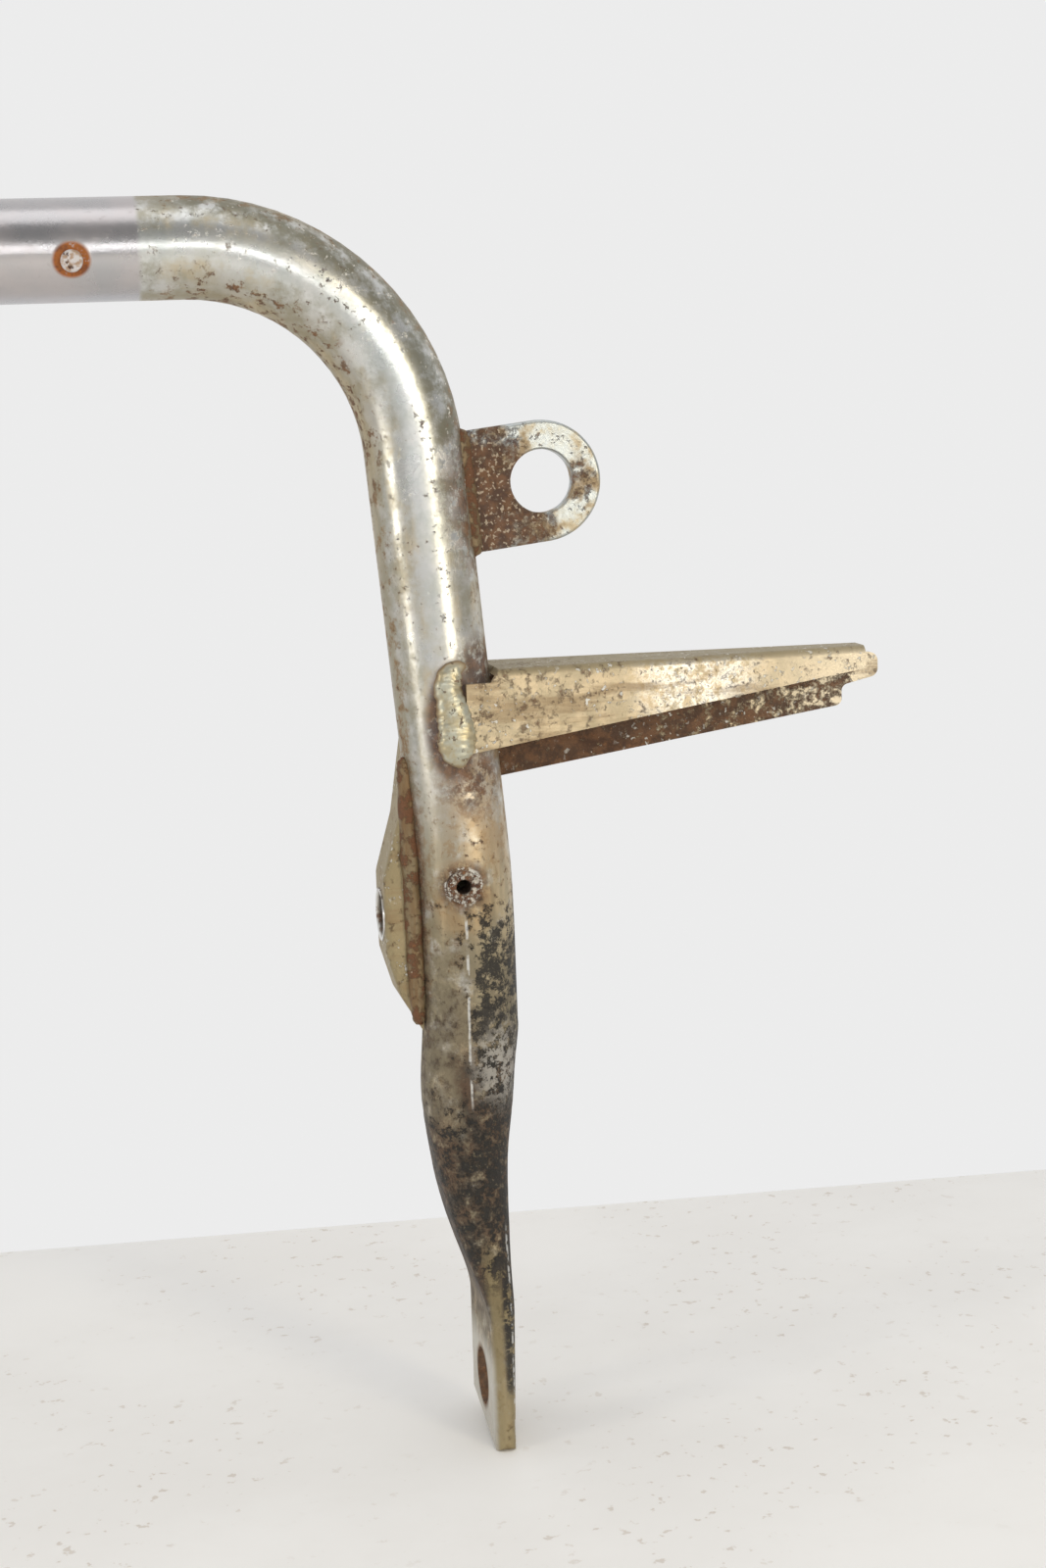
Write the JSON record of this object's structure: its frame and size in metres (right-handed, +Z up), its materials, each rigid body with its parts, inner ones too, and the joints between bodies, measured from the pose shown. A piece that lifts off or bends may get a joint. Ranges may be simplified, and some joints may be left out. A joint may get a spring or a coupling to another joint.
{
  "type": "spare tire carrier",
  "caption": "Bent-tube hoop with flattened bolt-on feet, side eye lugs, tapered channel arms and a central studded flange for a spare wheel.",
  "frame": {"origin": "midway between the two foot bolt holes, on their common axis", "axes": "+X along the top bar to the pictured (right) leg, +Y to the side away from the wheel, +Z up"},
  "size_m": [0.868, 0.1198, 0.4107],
  "materials": {
    "worn_chrome": "worn, stained, part rusted",
    "worn_plate": "dull plated, rusted round the weld",
    "weathered_sheet": "weathered, pitted",
    "rusty_weld": "rusted weld",
    "weld_bead": "smooth plated weld",
    "bare_steel": "dull, oily",
    "rivet_steel": "dull with a rust halo"
  },
  "bodies": {
    "root": {"hoop_tube": "worn_chrome", "eye_lug_right": "worn_plate", "eye_welds_right": "rusty_weld", "side_arm_right": "weathered_sheet", "arm_welds_right": "weld_bead", "saddle_pad_right": "weathered_sheet", "saddle_bush_right": "bare_steel", "saddle_welds_right": "rusty_weld", "leg_insert_right": "bare_steel", "bar_rivet_right": "rivet_steel", "eye_lug_left": "worn_plate", "eye_welds_left": "rusty_weld", "side_arm_left": "weathered_sheet", "arm_welds_left": "weld_bead", "saddle_pad_left": "weathered_sheet", "saddle_bush_left": "bare_steel", "saddle_welds_left": "rusty_weld", "leg_insert_left": "bare_steel", "bar_rivet_left": "rivet_steel", "wheel_hanger": "weathered_sheet", "hanger_welds": "rusty_weld", "wheel_spacer": "weathered_sheet", "wheel_flange": "worn_plate", "spacer_ribs": "weathered_sheet", "wheel_studs": "bare_steel"}
  },
  "joints": []
}
